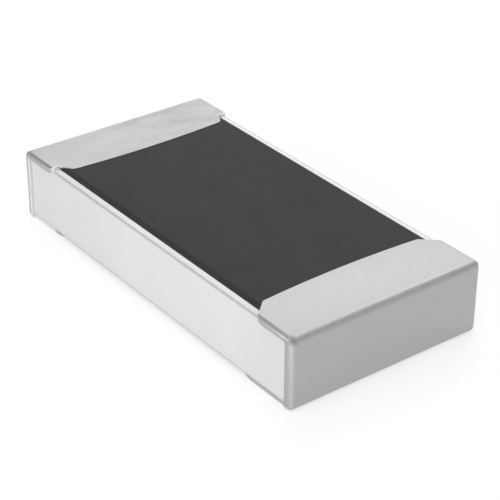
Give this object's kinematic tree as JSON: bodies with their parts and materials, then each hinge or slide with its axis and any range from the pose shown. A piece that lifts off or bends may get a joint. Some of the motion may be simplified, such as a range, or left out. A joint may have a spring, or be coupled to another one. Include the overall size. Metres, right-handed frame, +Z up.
{
  "type": "smd chip resistor",
  "caption": "Flat rectangular chip resistor: white ceramic block with a black coat on top and a plated solder termination wrapped round each end.",
  "frame": {"origin": "middle of the two solder faces, at the bottom centre of the chip", "axes": "+X along the length towards the right termination, +Y across the width, +Z up from the board"},
  "size_m": [0.0032, 0.0016, 0.0005],
  "materials": {
    "alumina": "matt, fine-grained fired alumina",
    "overcoat": "satin black epoxy coat",
    "tin": "satin matt-tin plating",
    "nickel": "dull nickel plating",
    "silver_print": "fired silver paste",
    "resistor_film": "fired ruthenium-oxide film",
    "cover_glass": "fired glass"
  },
  "bodies": {
    "root": {"ceramic_substrate": "alumina", "bottom_electrode_left": "silver_print", "bottom_electrode_right": "silver_print", "top_electrode_left": "silver_print", "top_electrode_right": "silver_print", "resistive_film": "resistor_film", "glass_passivation": "cover_glass", "protective_overcoat": "overcoat", "edge_electrode_left": "silver_print", "edge_electrode_right": "silver_print", "nickel_barrier_left": "nickel", "nickel_barrier_right": "nickel", "tin_plating_left": "tin", "tin_plating_right": "tin"}
  },
  "joints": []
}
